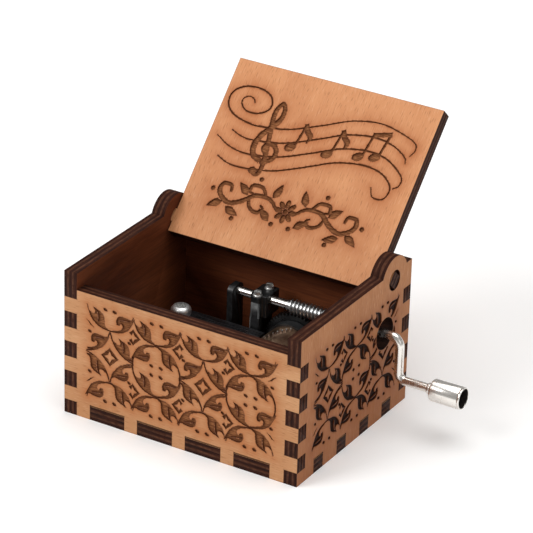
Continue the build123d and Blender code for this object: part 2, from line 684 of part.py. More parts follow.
with BuildPart() as crank_wire:
    with BuildLine(Plane.XZ.offset(-CRANK_Y)) as wire_path:
        FilletPolyline(
            (WIRE_START, CRANK_Z),
            (ARM_X, CRANK_Z),
            (ARM_X, HANDLE_Z),
            (WIRE_END, HANDLE_Z),
            radius=(SHAFT_BEND, HANDLE_BEND),
        )
    with BuildSketch(shaft_plane(WIRE_START)):
        Circle(WIRE)
    sweep(path=wire_path.line)
crank_wire.part.label = "crank_wire"
export_step(crank_wire.part, "parts/crank_wire.step")

with BuildPart() as knob_collar:
    with BuildSketch(handle_plane(COLLAR_START)):
        Circle(COLLAR_RADIUS)
        Circle(WIRE, mode=Mode.SUBTRACT)
    extrude(amount=COLLAR_LENGTH)
    chamfer(knob_collar.edges().filter_by(GeomType.CIRCLE).sort_by(SortBy.RADIUS)[-2:], 0.2)
knob_collar.part.label = "knob_collar"
export_step(knob_collar.part, "parts/knob_collar.step")

with BuildPart() as crank_knob:
    with BuildSketch(handle_plane(KNOB_START)):
        Circle(KNOB_RADIUS)
        Circle(WIRE + RUNNING, mode=Mode.SUBTRACT)
    extrude(amount=KNOB_END - KNOB_START)
    with BuildSketch(handle_plane(KNOB_END)):
        Circle(KNOB_RADIUS - KNOB_WALL)
    extrude(amount=-(KNOB_END - KNOB_START - KNOB_HUB), mode=Mode.SUBTRACT)
    fillet(crank_knob.faces().sort_by(Axis.X)[0].edges().sort_by(SortBy.RADIUS)[-1], 0.5)
    fillet(crank_knob.faces().sort_by(Axis.X)[-1].edges().sort_by(SortBy.RADIUS)[-1], 0.12)
crank_knob.part.label = "crank_knob"
export_step(crank_knob.part, "parts/crank_knob.step")

with BuildPart() as knob_retainer:
    with BuildSketch(handle_plane(WIRE_END)):
        Circle(RETAINER_RADIUS)
    extrude(amount=RETAINER_LENGTH)
    fillet(knob_retainer.faces().sort_by(Axis.X)[-1].edges(), 0.45)
knob_retainer.part.label = "knob_retainer"
export_step(knob_retainer.part, "parts/knob_retainer.step")
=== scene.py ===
import json
from math import cos, exp, hypot, pi, radians, sin

import bmesh
import bpy
from mathutils import Matrix, Vector, kdtree, noise
from mathutils.geometry import delaunay_2d_cdt


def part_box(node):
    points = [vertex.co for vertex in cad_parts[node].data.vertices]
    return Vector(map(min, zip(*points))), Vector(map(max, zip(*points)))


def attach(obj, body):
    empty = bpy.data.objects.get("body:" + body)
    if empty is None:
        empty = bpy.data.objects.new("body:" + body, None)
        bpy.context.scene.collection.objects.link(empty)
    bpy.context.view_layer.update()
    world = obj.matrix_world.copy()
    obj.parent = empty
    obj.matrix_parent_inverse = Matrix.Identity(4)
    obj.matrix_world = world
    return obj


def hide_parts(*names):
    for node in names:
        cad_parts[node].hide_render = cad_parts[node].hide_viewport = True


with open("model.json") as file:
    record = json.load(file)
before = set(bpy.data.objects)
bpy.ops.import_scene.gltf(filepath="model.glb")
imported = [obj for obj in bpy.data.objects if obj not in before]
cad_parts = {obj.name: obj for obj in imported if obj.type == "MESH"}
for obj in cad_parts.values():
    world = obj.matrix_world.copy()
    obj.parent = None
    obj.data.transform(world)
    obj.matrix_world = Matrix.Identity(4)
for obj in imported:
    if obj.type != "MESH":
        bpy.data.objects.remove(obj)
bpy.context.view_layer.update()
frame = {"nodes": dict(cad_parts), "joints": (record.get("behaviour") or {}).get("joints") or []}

MM = 0.001
WELD = 0.000002
SHARP = radians(35)
X, Y, Z = Vector((1, 0, 0)), Vector((0, 1, 0)), Vector((0, 0, 1))

# The box, in metres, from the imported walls
FRONT_LOW, FRONT_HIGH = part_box("front_wall")
RIGHT_LOW, RIGHT_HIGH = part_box("right_wall")
LEFT, RIGHT = FRONT_LOW.x, FRONT_HIGH.x
FRONT, BACK = RIGHT_LOW.y, RIGHT_HIGH.y
PLY = FRONT_HIGH.y - FRONT_LOW.y
LID_HINGE = next(j for j in frame["joints"] if j["name"] == "lid_hinge")
LID_PIVOT = Vector(LID_HINGE["pos_m"])
LID_LEAN = radians(LID_HINGE["range_deg"][1] - 90)
CRANK_PIVOT = Vector(next(j for j in frame["joints"] if j["name"] == "crank_spin")["pos_m"])
KNOB_PIVOT = Vector(next(j for j in frame["joints"] if j["name"] == "knob_spin")["pos_m"])


# ------------------------------------------------------------------ flat outlines, in millimetres


def smooth(points, steps=5):
    """Points along a Catmull-Rom curve through these points."""
    p = [Vector(q) for q in points]
    p = [2 * p[0] - p[1], *p, 2 * p[-1] - p[-2]]
    curve = []
    for a, b, c, d in zip(p, p[1:], p[2:], p[3:]):
        for i in range(steps):
            t = i / steps
            curve.append(
                0.5
                * (
                    2 * b
                    + (c - a) * t
                    + (2 * a - 5 * b + 4 * c - d) * t * t
                    + (3 * b - a - 3 * c + d) * t**3
                )
            )
    return [*curve, p[-2]]


def arc(centre, radius, start, end, steps=14):
    """Points along an arc, with its angles in degrees."""
    angles = [radians(start + (end - start) * i / steps) for i in range(steps + 1)]
    return [Vector(centre) + radius * Vector((cos(a), sin(a))) for a in angles]


def ribbon(points, width, start=1.0, end=1.0):
    """The outline of a line, which is width wide in its middle and start or end times that at its ends."""
    points = [Vector(p) for p in points]
    left, right = [], []
    last = len(points) - 1
    for i, p in enumerate(points):
        along = (points[min(i + 1, last)] - points[max(i - 1, 0)]).normalized()
        t = i / last
        swell = start + (1 - start) * min(1, 3 * t) if t < 0.5 else end + (1 - end) * min(1, 3 * (1 - t))
        side = Vector((-along.y, along.x)) * width / 2 * swell
        left.append(p + side)
        right.append(p - side)
    return left + right[::-1]


def ellipse(centre, long, short, tilt=0, steps=14):
    """An ellipse's outline, with its long half-axis tilted by so many degrees."""
    turn = Matrix.Rotation(radians(tilt), 2)
    return [
        Vector(centre) + turn @ Vector((long * cos(2 * pi * i / steps), short * sin(2 * pi * i / steps)))
        for i in range(steps)
    ]


def polar(points):
    """Points given as (degrees, radius)."""
    return [Vector((r * cos(radians(a)), r * sin(radians(a)))) for a, r in points]


def placed(outlines, centre, turn=0, scale=1.0, flip=False):
    """Outlines turned, scaled and moved to a centre, and mirrored left to right first if flip is set."""
    spin = Matrix.Rotation(radians(turn), 2)
    return [
        [Vector(centre) + spin @ Vector((-p.x if flip else p.x, p.y)) * scale for p in outline]
        for outline in outlines
    ]


# ------------------------------------------------------------------ scroll-work

PITCH = 12.8
RING = 6.45
LINE = 0.33
BOW = PITCH * 0.62
LEAF_SHIFT = BOW - (BOW - RING) / 2**0.5
LEAF_SCALE = 0.96
SMALL_STAR_RISE = 7.1
MARGIN = 5.5


def hooked_leaf():
    """A leaf that swells out of the lower right of its ring and curls over like a breaking wave."""
    back = polar([(-84, 6.6), (-64, 6.85), (-45, 7.0), (-29, 6.85), (-13, 7.0)])
    crest = polar([(-13, 7.0), (-20, 6.1), (-23, 4.9), (-30, 3.65), (-46, 3.15), (-62, 3.75), (-66, 4.7)])
    hollow = polar([(-66, 4.7), (-59, 5.0), (-53, 4.75), (-49, 5.1), (-52, 5.8), (-62, 6.2), (-84, 6.35)])
    return smooth(back)[:-1] + smooth(crest)[:-1] + smooth(hollow)


def notched_leaf():
    """A round leaf at the lower left of its ring, with a sharp tip and a notch between tip and ring."""
    back = polar([(203, 6.45), (218, 6.75), (236, 6.8), (250, 6.7), (266, 6.5)])
    belly = polar([(266, 6.3), (256, 5.7), (248, 4.2), (236, 3.4), (219, 3.45), (207, 4.0), (197, 4.8)])
    notch = polar([(197, 4.8), (210, 4.7), (215, 5.2), (212, 5.9), (203, 6.45)])
    return smooth(back) + smooth(belly)[:-1] + smooth(notch)[:-1]


def hook_vein():
    """The hooked leaf's vein, which is left standing."""
    return ribbon(smooth(polar([(-27, 5.8), (-34, 4.9), (-44, 4.15), (-54, 3.95)])), 0.26, 0.3, 0.3)


def notch_vein():
    """The notched leaf's vein, which is left standing."""
    return ribbon(smooth(polar([(236, 6.0), (229, 5.1), (218, 4.4), (207, 4.4)])), 0.28, 0.3, 0.3)


def diamond_star(size, corners=(0, 1, 2, 3)):
    """A diamond of dark corners around a four-pointed star that is left standing."""
    dart = [(1, 0), (0.5, 0.5), (0.23, 0.23), (0.68, 0), (0.23, -0.23), (0.5, -0.5)]
    return [placed([[Vector(p) * size for p in dart]], (0, 0), 90 * k)[0] for k in corners]


def dots(centre, across, up=0):
    """A pair of small slanted dots, or four if up is set."""
    ups = (-up, up) if up else (0,)
    places = [Vector(centre) + Vector((side * across, y)) for side in (-1, 1) for y in ups]
    return [ellipse(place, 0.55, 0.36, -22, 10) for place in places]


def ring_cell(centre):
    """A full ring with two hooked and two notched leaves inside it, and four dots."""
    cuts = [ribbon(arc((0, 0), RING + 0.1, 90 * k - 2, 90 * k + 92), LINE) for k in range(4)]
    keeps = []
    for turn in (0, 180):
        cuts += placed([hooked_leaf(), notched_leaf()], (0, 0), turn)
        keeps += placed([hook_vein(), notch_vein()], (0, 0), turn)
    cuts += dots((0, 0), 1.3, 1.2)
    return placed(cuts, centre), placed(keeps, centre)


def star_cell(centre):
    """Four bowed lines between cusps, a leaf outside each, and a diamond with a star in the middle."""
    cuts, keeps = [], []
    bow = ribbon(arc((BOW, BOW), BOW, 190, 260), LINE * 1.25, 0.5, 0.5)
    for side in range(4):
        across = 1 if side in (0, 3) else -1
        above = 1 if side in (0, 1) else -1
        corner = (across * LEAF_SHIFT, above * LEAF_SHIFT)
        leaf, vein = (notched_leaf(), notch_vein()) if across == above else (hooked_leaf(), hook_vein())
        cuts += placed([bow], (0, 0), 90 * side)
        turn = 0 if above > 0 else 180
        cuts += placed([leaf], corner, turn, LEAF_SCALE)
        keeps += placed([vein], corner, turn, LEAF_SCALE)
    cuts += diamond_star(2.35)
    return placed(cuts, centre), placed(keeps, centre)


def half_cell(centre, up):
    """Half a ring that opens upwards or downwards, with a leaf at each side and a pair of dots."""
    cuts = [ribbon(arc((0, 0), RING, -169, -11, 24), LINE, 0.3, 0.3), hooked_leaf(), notched_leaf()]
    cuts += dots((0, -1.25), 1.3)
    keeps = [hook_vein(), notch_vein()]
    turn = 0 if up else 180
    return placed(cuts, centre, turn), placed(keeps, centre, turn)


def small_star(centre, side, above):
    """A small star between two columns, open towards the star cell on its side, with a dot there."""
    open_corner = 180 if side < 0 else 0
    corners = [k for k in range(4) if 90 * k != open_corner]
    dot = Vector((side * 1.0, -above * 1.9))
    return placed(diamond_star(2.0, corners), centre) + placed([ellipse(dot, 0.5, 0.33, -22, 8)], centre)


def margin(u, middle, side):
    """A sliver and a dot above and below the end of the band."""
    shapes = []
    for above in (1, -1):
        sliver = [(-0.95, 0.75 * above), (-0.3, 0.45 * above), (0.95, -0.75 * above), (0.1, -0.35 * above)]
        shapes.append([Vector((u - side * a, middle + above * 7.4 + b)) for a, b in sliver])
        shapes.append(ellipse((u + 0.1 * side, middle + above * 5.3), 0.5, 0.33, -22, 8))
    return shapes


def lattice(first, middle, kinds, hole=None):
    """A band of cells, pitch by pitch from u = first, about the height middle. kinds gives ring or star for
    each column, and hole is the place and radius of a hole that the pattern leaves free."""
    cuts, keeps = [], []
    rise = RING + PITCH / 2 + 0.5
    for column, kind in enumerate(kinds):
        u = first + PITCH * column
        cells = [half_cell((u, middle + rise), True), half_cell((u, middle - rise), False)]
        cells.append(ring_cell((u, middle)) if kind == "ring" else star_cell((u, middle)))
        for cell_cuts, cell_keeps in cells:
            cuts += cell_cuts
            keeps += cell_keeps
        if column:
            for above in (1, -1):
                side = 1 if kind == "star" else -1
                cuts += small_star((u - PITCH / 2, middle + above * SMALL_STAR_RISE), side, above)
    last = first + PITCH * (len(kinds) - 1)
    cuts += margin(first - MARGIN, middle, -1) + margin(last + MARGIN, middle, 1)
    if hole:
        keeps.append(arc(hole[:2], hole[2] + 0.3, 0, 350, 35))
    return cuts, keeps


# ------------------------------------------------------------------ the lid's staff and ornament

STAFF_LINE = 0.36
NOTE_LEAN = radians(10)


def staff():
    """Four waving lines that start in a scroll at the left and end in hooks at the right."""
    wave = [(12, 0), (20, 1.2), (28, 4.3), (35, 7.3), (42, 8.5), (47.5, 7.7)]
    curl = [(8.6, 32.4), (7.9, 33.3), (6.5, 33.6), (5.2, 32.7), (5.4, 31.2), (7.2, 29.9), (9.8, 29.8)]
    loop = [(12.4, 31.0), (13.2, 33.0), (11.9, 35.1), (8.8, 36.2), (5.2, 36.0), (2.5, 34.6), (1.5, 32.4)]
    lines = [
        (
            [*curl, *loop, (2.2, 30.0), (4.4, 28.2), (8.0, 27.2)],
            26.9,
            [(52.4, 33.0), (53.4, 31.2), (52.6, 29.4)],
        ),
        ([(5.6, 24.4), (8.6, 23.4)], 23.2, [(51.3, 29.0), (52.2, 27.4)]),
        ([(2.4, 22.2), (6.6, 20.2)], 19.5, [(52.4, 24.2), (52.9, 21.8), (51.6, 20.6)]),
        ([(4.6, 17.2), (8.0, 16.0)], 15.8, [(50.9, 20.7), (50.3, 17.6), (47.5, 17.4), (46.2, 19.6)]),
    ]
    shapes = []
    for start, height, end in lines:
        points = [*start, *[(u, height + v) for u, v in wave], *end]
        shapes.append(ribbon(smooth(points, 6), STAFF_LINE, 0.5, 0.5))
    return shapes


def clef():
    """A G clef from three overlapping strokes."""
    belly = [(16.5, 20.7), (15.5, 21.9), (16.3, 23.3), (18.2, 23.1), (19.2, 21.2), (18.2, 19.3)]
    belly.append((15.9, 18.6))
    back = [(15.9, 18.6), (13.5, 19.8), (12.8, 22.3), (13.7, 25.1), (15.6, 27.7), (17.0, 30.3), (17.0, 32.7)]
    stem = [(17.0, 32.7), (16.0, 33.9), (14.9, 32.1), (15.0, 29.2), (15.9, 24.8), (16.8, 20.0)]
    stem += [(17.0, 16.6), (16.3, 15.1), (15.1, 15.4)]
    return [
        ribbon(smooth(belly), 1.15, 0.8, 1),
        ribbon(smooth(back), 1.45, 0.9, 0.7),
        ribbon(smooth(stem), 1.2, 0.8, 0.7),
        ellipse((15.0, 15.9), 1.05, 0.9),
    ]


def note(head, height, flag=True):
    """A note's head and leaning stem, with a curled flag if it stands alone, and its stem's top."""
    head = Vector(head)
    foot = head + Vector((0.95, 0.35))
    top = foot + height * Vector((sin(NOTE_LEAN), cos(NOTE_LEAN)))
    shapes = [ellipse(head, 1.5, 1.05, 24), ribbon([foot, (foot + top) / 2, top], 0.6)]
    if flag:
        tip = [top + Vector(p) for p in ((-0.1, 0.2), (0.8, -1.5), (2.0, -2.7), (1.6, -4.5))]
        shapes.append(ribbon(smooth(tip), 1.35, 0.7, 0.15))
    return shapes, top


def notes():
    """Two single notes and a pair under one beam."""
    shapes = note((22.1, 23.9), 6.2)[0] + note((31.9, 24.6), 6.4)[0]
    first, first_top = note((39.9, 26.0), 6.0, False)
    second, second_top = note((44.0, 26.9), 6.2, False)
    slant = (second_top - first_top).normalized() * 0.25
    beam = ribbon([first_top - slant, (first_top + second_top) / 2, second_top + slant], 1.15)
    return shapes + first + second + [beam]


def vine(side):
    """One half of the ornament under the staff: a stem in an S with curls and leaves along it."""
    stem = [(2.6, 0), (5.2, 1.9), (9.0, 1.9), (12.4, -0.6), (15.6, -1.6), (18.6, 0.4)]
    stem += [(18.4, 2.7), (16.2, 2.8), (15.7, 1.2)]
    curls = [
        [(6.2, 2.1), (8.0, 4.2), (10.6, 4.2), (11.0, 2.6), (9.8, 2.1)],
        [(10.6, 1.1), (9.6, -1.2), (7.4, -2.2), (6.0, -1.0), (6.9, -0.1)],
    ]
    leaves = [((5.0, -2.3), 35), ((12.6, 2.6), 40), ((13.8, -3.4), -160)]
    leaves += [((3.9, 4.2), 110), ((18.6, -2.6), -30)]
    shapes = [ribbon(smooth(stem), 1.15, 0.6, 0.5)]
    shapes += [ribbon(smooth(curl), 0.85, 0.8, 0.4) for curl in curls]
    for place, tilt in leaves:
        leaf = smooth([(-1.9, 0), (-0.6, 1.05), (0.9, 0.8), (2.2, 0)])[:-1]
        leaf += smooth([(2.2, 0), (0.9, -0.55), (-0.6, -0.8), (-1.9, 0)])[:-1]
        shapes += placed([leaf], place, tilt)
    shapes += [ellipse(p, 0.55, 0.55) for p in ((20.6, 0.9), (12.9, -5.2), (9.2, 6.1), (2.4, -3.9))]
    return placed(shapes, (0, 0), 0, 1.0, side < 0)


def ornament(centre):
    """A rosette with a vine to each side."""
    petals = [placed([ellipse((1.9, 0), 1.1, 0.62)], (0, 0), 45 * k)[0] for k in range(8)]
    shapes = [ellipse((0, 0), 0.62, 0.62), *petals, *vine(1), *vine(-1)]
    return placed(shapes, centre)


# ------------------------------------------------------------------ materials


def rgb(red, green, blue):
    """A display colour from 0 to 255 as the linear colour that shaders take."""
    return (*[(c / 255) ** 2.2 for c in (red, green, blue)], 1.0)


class Shader:
    """A material with one Principled shader, and short calls that add nodes to it."""

    def __init__(self, name, **settings):
        self.material = bpy.data.materials.new(name)
        self.material.use_nodes = True
        self.nodes = self.material.node_tree.nodes
        self.links = self.material.node_tree.links
        self.out = self.nodes["Principled BSDF"]
        self.set(self.out, settings)

    def set(self, node, values):
        for name, value in values.items():
            socket = node.inputs[name.replace("_", " ")]
            if isinstance(value, bpy.types.NodeSocket):
                self.links.new(value, socket)
            else:
                socket.default_value = value

    def add(self, kind, properties=None, **values):
        node = self.nodes.new("ShaderNode" + kind)
        for name, value in (properties or {}).items():
            setattr(node, name, value)
        self.set(node, values)
        return node

    def attribute(self, name, output="Vector"):
        return self.add("Attribute", {"attribute_name": name}).outputs[output]

    def object_coords(self):
        return self.add("TexCoord").outputs["Object"]

    def stretched(self, vector, x, y, z):
        return self.add("Mapping", Vector=vector, Scale=(x, y, z)).outputs["Vector"]

    def noise(self, vector, scale=1.0, detail=3.0):
        node = self.add("TexNoise", Vector=vector, Scale=scale, Detail=detail, Roughness=0.55)
        return node.outputs["Fac"]

    def ramp(self, value, *stops):
        """Colours at positions, as (position, colour) or (position, grey)."""
        node = self.add("ValToRGB", Fac=value)
        elements = node.color_ramp.elements
        for i, (position, colour) in enumerate(stops):
            element = elements[i] if i < 2 else elements.new(position)
            element.position = position
            element.color = colour if isinstance(colour, tuple) else (colour, colour, colour, 1)
        return node.outputs["Color"]

    def mix(self, factor, a, b):
        node = self.add("Mix", {"data_type": "RGBA"})
        for socket, value in ((node.inputs[0], factor), (node.inputs[6], a), (node.inputs[7], b)):
            if isinstance(value, bpy.types.NodeSocket):
                self.links.new(value, socket)
            else:
                socket.default_value = value
        return node.outputs[2]

    def math(self, operation, a, b):
        node = self.add("Math", {"operation": operation})
        for socket, value in zip(node.inputs, (a, b)):
            if isinstance(value, bpy.types.NodeSocket):
                self.links.new(value, socket)
            else:
                socket.default_value = value
        return node.outputs[0]

    def bump(self, height, distance, strength):
        node = self.add("Bump", Height=height, Distance=distance, Strength=strength)
        self.links.new(node.outputs["Normal"], self.out.inputs["Normal"])


def grain_vector(s, along_u):
    """The panel's own coordinates with the grain along the second axis."""
    vector = s.attribute("grain")
    if along_u:
        split = s.add("SeparateXYZ", Vector=vector)
        joined = s.add("CombineXYZ", X=split.outputs["Y"], Y=split.outputs["X"], Z=split.outputs["Z"])
        vector = joined.outputs["Vector"]
    return vector


def veneer(name, along_u, light, dark, smoke_and_shade, foot=0.0):
    """Pale veneer with soft figure, fine fibres and short pores, smoked near the engraving, and with painted
    shade that darkens it towards its lower edge by the factor foot."""
    s = Shader(name, Specular_IOR_Level=0.22)
    vector = grain_vector(s, along_u)
    figure = s.noise(s.stretched(vector, 90, 22, 90), detail=4)
    fibres = s.noise(s.stretched(vector, 2600, 130, 2600), detail=3)
    pores = s.noise(s.stretched(vector, 3600, 420, 3600), detail=1)
    colour = s.mix(s.ramp(figure, (0.3, 0.0), (0.7, 1.0)), dark, light)
    colour = s.mix(s.ramp(fibres, (0.35, 0.0), (0.62, 0.34)), colour, dark)
    colour = s.mix(s.ramp(pores, (0.6, 0.0), (0.72, 0.5)), colour, rgb(132, 84, 52))
    colour = s.mix(s.ramp(pores, (0.3, 0.16), (0.4, 0.0)), colour, rgb(236, 196, 160))
    # Painted shade: the smoke colour is mixed in towards the lower edge, up to the factor foot at the edge.
    height = s.math("MULTIPLY", s.add("SeparateXYZ", Vector=s.attribute("grain")).outputs["Y"], 30)
    colour = s.mix(s.ramp(height, (0.0, foot), (1.0, 0.0)), colour, smoke_and_shade)
    patches = s.noise(s.stretched(vector, 160, 110, 160), detail=3)
    tint = s.math("MULTIPLY", s.attribute("scorch", "Fac"), s.ramp(patches, (0.3, 0.45), (0.65, 1.0)))
    colour = s.mix(s.ramp(tint, (0.0, 0.0), (0.8, 0.75)), colour, smoke_and_shade)
    colour = s.mix(s.ramp(s.attribute("burn", "Fac"), (0.25, 0.0), (1.0, 0.85)), colour, rgb(84, 45, 26))
    s.links.new(colour, s.out.inputs["Base Color"])
    s.links.new(s.ramp(fibres, (0.3, 0.46), (0.7, 0.62)), s.out.inputs["Roughness"])
    s.bump(s.math("ADD", fibres, s.math("MULTIPLY", pores, 0.6)), 0.00006, 0.5)
    return s.material


def engraved(name, pale, dark):
    """The floor of the engraving: brown where the beam was quick and darker along its edges."""
    s = Shader(name, Roughness=0.8, Specular_IOR_Level=0.15)
    vector = s.attribute("grain")
    lines = s.noise(s.stretched(vector, 300, 5200, 300), detail=2)
    patches = s.noise(s.stretched(vector, 900, 900, 900), detail=2)
    colour = s.mix(s.ramp(lines, (0.38, 0.0), (0.62, 1.0)), dark, pale)
    colour = s.mix(s.ramp(patches, (0.35, 0.0), (0.65, 0.55)), colour, dark)
    colour = s.mix(s.attribute("scorch", "Fac"), colour, dark)
    s.links.new(colour, s.out.inputs["Base Color"])
    s.bump(s.math("ADD", lines, patches), 0.00012, 0.8)
    return s.material


def cut_edge():
    """A laser-cut plywood edge: charred, with the plies' lines along it."""
    s = Shader("cut_edge", Roughness=0.7, Specular_IOR_Level=0.12)
    vector = s.attribute("grain")
    depth = s.add("SeparateXYZ", Vector=vector).outputs["Z"]
    fibres = s.noise(s.stretched(vector, 260, 260, 5200), detail=3)
    waver = s.noise(s.stretched(vector, 420, 420, 420), detail=2)
    layer = s.math("ADD", s.math("MULTIPLY", depth, 1 / PLY), s.math("MULTIPLY", waver, 0.05))
    first_ply = [(0.22, 0.0), (0.31, 1.0), (0.36, 0.9), (0.47, 0.0)]
    second_ply = [(0.62, 0.0), (0.69, 1.0), (0.74, 0.9), (0.85, 0.0)]
    pale_ply = s.ramp(layer, *first_ply, *second_ply)
    colour = s.mix(s.ramp(fibres, (0.35, 0.0), (0.7, 1.0)), rgb(34, 15, 9), rgb(64, 34, 23))
    blotches = s.noise(s.stretched(vector, 900, 900, 900), detail=3)
    patchy = s.ramp(blotches, (0.35, 0.35), (0.6, 1.0))
    strength = s.math("MULTIPLY", s.ramp(fibres, (0.3, 0.3), (0.6, 0.8)), patchy)
    colour = s.mix(s.math("MULTIPLY", pale_ply, strength), colour, rgb(104, 68, 50))
    s.links.new(colour, s.out.inputs["Base Color"])
    s.bump(s.math("ADD", fibres, s.math("MULTIPLY", pale_ply, 0.6)), 0.00014, 0.8)
    return s.material


def shaded_inside_face():
    """The walls' inner faces: redder and smoother than the veneer outside, and darker with painted shade for
    the shadow inside the box.
    """
    s = Shader("inner_veneer_shaded", Roughness=0.55, Specular_IOR_Level=0.25)
    vector = grain_vector(s, True)
    figure = s.noise(s.stretched(vector, 160, 26, 160), detail=4)
    fibres = s.noise(s.stretched(vector, 2200, 120, 2200), detail=3)
    # Painted shade: both colours are dark for the shadow inside the box.
    colour = s.mix(s.ramp(figure, (0.3, 0.0), (0.7, 1.0)), rgb(96, 50, 30), rgb(128, 72, 44))
    colour = s.mix(s.ramp(fibres, (0.4, 0.0), (0.65, 0.5)), colour, rgb(74, 38, 24))
    s.links.new(colour, s.out.inputs["Base Color"])
    s.bump(fibres, 0.00005, 0.5)
    return s.material


def char():
    """The engraving's steep sides."""
    s = Shader("char", Roughness=0.85, Specular_IOR_Level=0.1)
    spots = s.noise(s.stretched(s.attribute("grain"), 2400, 2400, 2400), detail=2)
    colour = s.mix(spots, rgb(50, 25, 14), rgb(88, 48, 28))
    s.links.new(colour, s.out.inputs["Base Color"])
    s.bump(spots, 0.00008, 0.6)
    return s.material


# ------------------------------------------------------------------ engraved panels

# In millimetres: how far smoke colours the wood, how far char reaches into the engraved floors, the burnt
# line along a plate's outline, the grid's spacing, and the engraving's depth
SMOKE_REACH = 1.6
EDGE_REACH = 0.3
BURN_WIDTH = 0.16
GRID = 0.45
DEPTH = 0.4

# A panel's material slots
FACE, FLOOR, STEEP, EDGE, BACK_FACE = range(5)

FACES_ALONG = 0.999
IN_PLANE = 0.00002


def loops_of(faces):
    """The closed chains of vertices round a set of faces."""
    inside = set(faces)
    following = {}
    for face in faces:
        for loop in face.loops:
            if sum(f in inside for f in loop.edge.link_faces) == 1:
                following[loop.vert] = loop.link_loop_next.vert
    chains = []
    while following:
        start, vert = following.popitem()
        chain = [start]
        while vert is not start:
            chain.append(vert)
            vert = following.pop(vert)
        chains.append(chain)
    return chains


def area(points):
    """The area inside an outline, which is negative if it runs clockwise."""
    return sum(a.x * b.y - a.y * b.x for a, b in zip(points, points[1:] + points[:1])) / 2


def engrave(bm, origin, u, v, art):
    """Cuts art, drawn in millimetres from origin along u and v, into bm's flat side that faces u x v."""
    normal = u.cross(v)
    side = [
        f
        for f in bm.faces
        if f.normal.dot(normal) > FACES_ALONG
        and abs((f.calc_center_median() - origin).dot(normal)) < IN_PLANE
    ]
    chains = loops_of(side)
    bmesh.ops.delete(bm, geom=side, context="FACES_ONLY")

    def flat(vert):
        return Vector(((vert.co - origin).dot(u), (vert.co - origin).dot(v))) / MM

    def solid(point, depth):
        return origin + (u * point.x + v * point.y - normal * depth) * MM

    chains.sort(key=lambda chain: -abs(area([flat(x) for x in chain])))
    known = [vert for chain in chains for vert in chain]
    points = [flat(vert) for vert in known]
    faces, start = [], 0
    for outline in [*[[flat(x) for x in chain] for chain in chains], *art[0], *art[1]]:
        if start >= len(known):
            points.extend(outline)
        corners = list(range(start, start + len(outline)))
        faces.append(corners if area(outline) > 0 else corners[::-1])
        start += len(outline)
    first_cut, first_keep = len(chains), len(chains) + len(art[0])
    for chain in chains:
        for a, b in zip(chain, [*chain[1:], chain[0]]):
            a, b = flat(a), flat(b)
            along = b - a
            inwards = Vector((-along.y, along.x)).normalized() * BURN_WIDTH
            steps = max(1, round(along.length / GRID))
            points.extend(a + along * (k + 0.5) / steps + inwards for k in range(steps))
    low = Vector((min(p.x for p in points), min(p.y for p in points)))
    high = Vector((max(p.x for p in points), max(p.y for p in points)))
    for row in range(int((high.y - low.y) / GRID)):
        for column in range(int((high.x - low.x) / GRID)):
            shift = 0.25 if row % 2 else 0.75
            points.append(low + GRID * Vector((column + shift, row + 0.5)))
    flat_points, _, triangles, came_from, _, owners = delaunay_2d_cdt(points, [], faces, 1, 1e-5)

    cut, plain = [], []
    for triangle, owner in zip(triangles, owners):
        owner = set(owner)
        if 0 in owner and not any(k in owner for k in range(1, first_cut)):
            kept = any(k >= first_keep for k in owner)
            carved = any(first_cut <= k < first_keep for k in owner) and not kept
            (cut if carved else plain).append(triangle)
    cut_edges = {}
    for triangle in cut:
        for a, b in zip(triangle, [*triangle[1:], triangle[0]]):
            if cut_edges.pop((b, a), None) is None:
                cut_edges[a, b] = True
    rim = [(flat_points[a] + flat_points[b]) / 2 for a, b in cut_edges]
    rim += [flat_points[a] for a, _ in cut_edges]
    nearest = kdtree.KDTree(max(1, len(rim)))
    for i, p in enumerate(rim):
        nearest.insert((p.x, p.y, 0), i)
    nearest.balance()

    scorch = bm.verts.layers.float["scorch"]
    burn = bm.verts.layers.float["burn"]
    on_edge = {i for i, came in enumerate(came_from) if any(k < len(known) for k in came)}
    on_edge |= {i for edge in cut_edges for i in edge}
    tops, floors = {}, {}

    def distance(p):
        return nearest.find((p.x, p.y, 0))[2] if rim else 100.0

    def top(i):
        if i not in tops:
            old = [known[k] for k in came_from[i] if k < len(known)]
            tops[i] = old[0] if old else bm.verts.new(solid(flat_points[i], 0))
            tops[i][scorch] = exp(-distance(flat_points[i]) / SMOKE_REACH)
            tops[i][burn] = float(i in on_edge)
        return tops[i]

    def floor(i):
        if i not in floors:
            p = flat_points[i]
            near = distance(p)
            rough = noise.noise((p.x * 1.7, p.y * 1.7, 3.0))
            depth = DEPTH * (0.72 + 0.28 * min(1, near / 0.4) + 0.16 * rough)
            floors[i] = bm.verts.new(solid(p, depth))
            floors[i][scorch] = exp(-near / EDGE_REACH)
        return floors[i]

    def add(corners, index):
        if len(set(corners)) == len(corners):
            face = bm.faces.new(corners)
            face.material_index = index
            face.smooth = True

    for triangle in plain:
        add([top(i) for i in triangle], FACE)
    for triangle in cut:
        add([floor(i) for i in triangle], FLOOR)
    for a, b in cut_edges:
        add([top(a), top(b), floor(b), floor(a)], STEEP)


def add_piece(name, bm, materials, body, node):
    """A mesh piece that rides on a body in place of a CAD node."""
    mesh = bpy.data.meshes.new(name)
    bm.to_mesh(mesh)
    bm.free()
    mesh.set_sharp_from_angle(angle=SHARP)
    for material in materials:
        mesh.materials.append(material)
    piece = bpy.data.objects.new(name, mesh)
    bpy.context.scene.collection.objects.link(piece)
    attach(piece, body)
    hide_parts(node)


# The right wall's round hole: its place along and up the wall, and its radius
CRANK_HOLE = ((CRANK_PIVOT.y - FRONT) / MM, CRANK_PIVOT.z / MM, 4.0)


def in_crank_hole(node, face):
    """Whether a face is on the round side of the right wall's hole."""
    middle = face.calc_center_median() - CRANK_PIVOT
    return node == "right_wall" and hypot(middle.y, middle.z) < 1.05 * CRANK_HOLE[2] * MM


